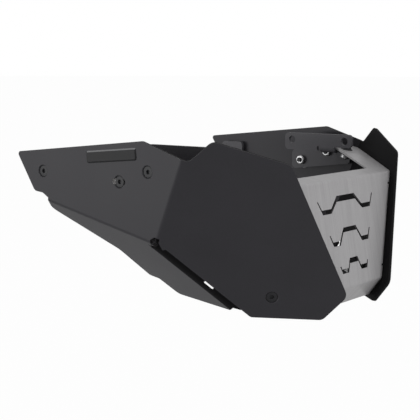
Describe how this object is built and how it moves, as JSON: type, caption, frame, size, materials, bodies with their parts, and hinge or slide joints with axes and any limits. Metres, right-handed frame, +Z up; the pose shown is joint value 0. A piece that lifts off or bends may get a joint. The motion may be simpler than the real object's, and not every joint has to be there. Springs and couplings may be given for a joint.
{
  "type": "motorcycle skid plate",
  "caption": "Folded sheet skid plate for a motorcycle: two black side panels, a slotted brushed front panel between them, and engine brackets",
  "frame": {"origin": "middle of the length and width, at the lowest edge of the side panels", "axes": "+X to the front of the machine, +Y to its left, +Z up, as the plate hangs under the engine"},
  "size_m": [0.3314, 0.351, 0.1824],
  "materials": {
    "coated_sheet": "satin black powder coat with a fine grain",
    "brushed_sheet": "brushed up and down",
    "black_screws": "black oxide",
    "zinc_hardware": "bright zinc plating",
    "rubber": "moulded",
    "name_plate": "blank satin black"
  },
  "bodies": {
    "root": {"left_front_bracket": "coated_sheet", "left_rear_bracket": "coated_sheet", "left_side_panel": "coated_sheet", "right_front_bracket": "coated_sheet", "right_rear_bracket": "coated_sheet", "right_side_panel": "coated_sheet", "front_panel": "brushed_sheet", "side_screws": "black_screws", "corner_screws": "black_screws", "arm_screws": "black_screws", "side_spacers": "zinc_hardware", "clinch_nuts": "zinc_hardware", "corner_spacers": "zinc_hardware", "corner_washers": "zinc_hardware", "corner_nuts": "zinc_hardware", "flange_studs": "zinc_hardware", "stud_washers": "zinc_hardware", "stud_nuts": "zinc_hardware", "rear_sleeves": "zinc_hardware", "rear_grommets": "rubber", "right_name_plate": "name_plate", "left_name_plate": "name_plate"}
  },
  "joints": []
}
